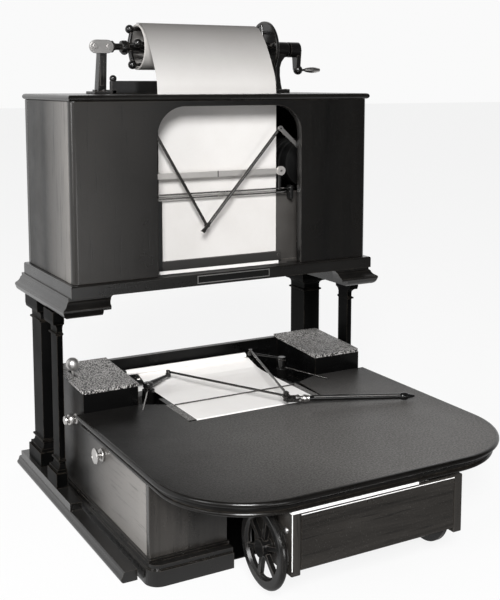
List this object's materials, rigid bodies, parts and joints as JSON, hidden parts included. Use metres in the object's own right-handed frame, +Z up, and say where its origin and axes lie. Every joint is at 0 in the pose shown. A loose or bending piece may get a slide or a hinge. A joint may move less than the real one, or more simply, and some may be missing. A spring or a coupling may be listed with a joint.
{
  "type": "telewriter",
  "caption": "Writing telegraph: a desk with a pencil on jointed arms below, and a windowed receiver with a pen on jointed arms and a paper reel above, on a columned stand.",
  "frame": {"origin": "bottom centre of the whole object's box, on the table", "axes": "+X to the writer's right, +Y away from the writer, +Z up"},
  "size_m": [0.344, 0.3976, 0.4555],
  "materials": {
    "wood": "dark polished mahogany",
    "leathercloth": "grained cloth, matt",
    "bronzed_metal": "satin bronze lacquer",
    "steel": "oiled",
    "black_iron": "black japan",
    "nickel": "nickel plate",
    "ebonite": "polished hard rubber",
    "paper": "matt paper"
  },
  "bodies": {
    "root": {"base_rail_left": "wood", "base_rail_right": "wood", "columns_front": "wood", "columns_rear": "wood", "cornice_left": "wood", "cornice_right": "wood", "cabinet_base": "wood", "cabinet_floor": "wood", "cabinet_side_left": "wood", "cabinet_side_right": "wood", "cabinet_front": "wood", "cabinet_back": "wood", "cabinet_top": "wood", "receiver_platen": "bronzed_metal", "receiver_guides": "steel", "receiver_paper": "paper", "supply_brackets": "black_iron", "receiver_motors": "black_iron", "reel_frame": "black_iron", "bearing_cap": "steel", "transmitter_plinth": "wood", "body_side_left": "wood", "body_side_right": "wood", "body_front_boards": "wood", "rear_wall": "wood", "box_left": "wood", "box_right": "wood", "lid_left": "leathercloth", "lid_right": "leathercloth", "desk_top": "wood", "desk_surface": "leathercloth", "writing_platen": "bronzed_metal", "transmitter_paper": "paper", "roller_brackets": "black_iron", "guide_wires": "steel", "rheostats": "black_iron", "take_up_board": "wood", "take_up_cheeks": "wood"},
    "fresh_roll": {"supply_roll": "paper"},
    "lifter": {"lifter_bar": "bronzed_metal", "lifter_shaft": "steel"},
    "receiver_crank_l": {"receiver_crank_left": "steel"},
    "receiver_crank_r": {"receiver_crank_right": "steel"},
    "receiver_arm_l": {"receiver_arm_left": "steel"},
    "receiver_arm_r": {"receiver_arm_right": "steel"},
    "reel": {"paper_reel": "black_iron", "reel_paper": "paper", "reel_crank": "black_iron"},
    "handle": {"crank_handle": "nickel"},
    "feed_roller": {"paper_roller": "nickel"},
    "transmitter_crank_l": {"transmitter_crank_left": "steel"},
    "transmitter_crank_r": {"transmitter_crank_right": "steel"},
    "transmitter_arm_l": {"transmitter_arm_left": "steel"},
    "transmitter_arm_r": {"transmitter_arm_right": "steel"},
    "fork": {"pencil_fork": "steel"},
    "pencil": {"pencil": "ebonite"},
    "lever": {"ball_lever": "nickel"},
    "ringed_knob": {"ring_knob": "nickel"},
    "spool": {"spool_knob": "nickel"},
    "take_up": {"take_up_reel": "black_iron"}
  },
  "joints": [
    {"name": "reel_spin", "type": "hinge", "parent": "root", "child": "reel", "pos_m": [0, 0.12875, 0.4245], "axis": [1, 0, 0], "continuous": true},
    {"name": "handle_spin", "type": "hinge", "parent": "reel", "child": "handle", "pos_m": [0.1395, 0.12875, 0.4035], "axis": [1, 0, 0], "continuous": true},
    {"name": "fresh_roll_spin", "type": "hinge", "parent": "root", "child": "fresh_roll", "pos_m": [0, 0.12475, 0.2305], "axis": [1, 0, 0], "continuous": true},
    {"name": "pen_lift", "type": "hinge", "parent": "root", "child": "lifter", "pos_m": [0, 0.07375, 0.285], "axis": [1, 0, 0], "range_deg": [0, 5], "stiffness_Nm_per_rad": 0.02, "springref_deg": -8.59},
    {"name": "receiver_drive", "type": "hinge", "parent": "root", "child": "receiver_crank_r", "pos_m": [0.102, 0.06275, 0.3085], "axis": [0, -1, 0], "range_deg": [-7, 7]},
    {"name": "receiver_elbow_right", "type": "hinge", "parent": "receiver_crank_r", "child": "receiver_arm_r", "pos_m": [0.06128, 0.06275, 0.34547], "axis": [0, -1, 0], "range_deg": [-10.19, 10.19]},
    {"name": "receiver_crank_left_turn", "type": "hinge", "parent": "root", "child": "receiver_crank_l", "pos_m": [-0.102, 0.06275, 0.3085], "axis": [0, -1, 0], "range_deg": [-5.33, 5.33]},
    {"name": "receiver_elbow_left", "type": "hinge", "parent": "receiver_crank_l", "child": "receiver_arm_l", "pos_m": [-0.0798, 0.06275, 0.35882], "axis": [0, -1, 0], "range_deg": [-7.94, 7.94]},
    {"name": "transmitter_drive", "type": "hinge", "parent": "root", "child": "transmitter_crank_r", "pos_m": [0.075, 0.08175, 0.107], "axis": [0, 0, 1], "range_deg": [-7, 7]},
    {"name": "transmitter_elbow_right", "type": "hinge", "parent": "transmitter_crank_r", "child": "transmitter_arm_r", "pos_m": [0.05523, 0.11303, 0.1104], "axis": [0, 0, 1], "range_deg": [-9.67, 9.67]},
    {"name": "transmitter_crank_left_turn", "type": "hinge", "parent": "root", "child": "transmitter_crank_l", "pos_m": [-0.075, 0.08175, 0.101], "axis": [0, 0, 1], "range_deg": [-5.87, 5.87]},
    {"name": "transmitter_elbow_left", "type": "hinge", "parent": "transmitter_crank_l", "child": "transmitter_arm_l", "pos_m": [-0.04446, 0.10265, 0.1044], "axis": [0, 0, 1], "range_deg": [-9.38, 9.38]},
    {"name": "fork_swivel", "type": "hinge", "parent": "transmitter_arm_r", "child": "fork", "pos_m": [0.0187, -0.02005, 0.106], "axis": [0, 0, 1], "range_deg": [-50, 20]},
    {"name": "pencil_tilt", "type": "hinge", "parent": "fork", "child": "pencil", "pos_m": [0.03004, -0.02398, 0.101], "axis": [-0.3272, -0.9449, 0], "range_deg": [0, 45]},
    {"name": "feed_roller_spin", "type": "hinge", "parent": "root", "child": "feed_roller", "pos_m": [0, 0.12345, 0.0943], "axis": [1, 0, 0], "continuous": true},
    {"name": "lever_swing", "type": "hinge", "parent": "root", "child": "lever", "pos_m": [-0.14325, 0.10275, 0.1024], "axis": [1, 0, 0], "range_deg": [-12, 12]},
    {"name": "ring_knob_turn", "type": "hinge", "parent": "root", "child": "ringed_knob", "pos_m": [-0.158, 0.06075, 0.0872], "axis": [1, 0, 0], "range_deg": [-135, 135]},
    {"name": "spool_knob_turn", "type": "hinge", "parent": "root", "child": "spool", "pos_m": [-0.155, 0.00575, 0.0706], "axis": [1, 0, 0], "range_deg": [-135, 135]},
    {"name": "take_up_spin", "type": "hinge", "parent": "root", "child": "take_up", "pos_m": [0, -0.16025, 0.0415], "axis": [1, 0, 0], "continuous": true}
  ],
  "couplings": [
    {"joint": "receiver_elbow_right", "follows": "receiver_drive", "ratio": -1.4272},
    {"joint": "receiver_crank_left_turn", "follows": "receiver_drive", "ratio": 0.7327},
    {"joint": "receiver_elbow_left", "follows": "receiver_drive", "ratio": -1.1062},
    {"joint": "transmitter_elbow_right", "follows": "transmitter_drive", "ratio": -1.3535},
    {"joint": "transmitter_crank_left_turn", "follows": "transmitter_drive", "ratio": 0.8105},
    {"joint": "transmitter_elbow_left", "follows": "transmitter_drive", "ratio": -1.3109}
  ]
}
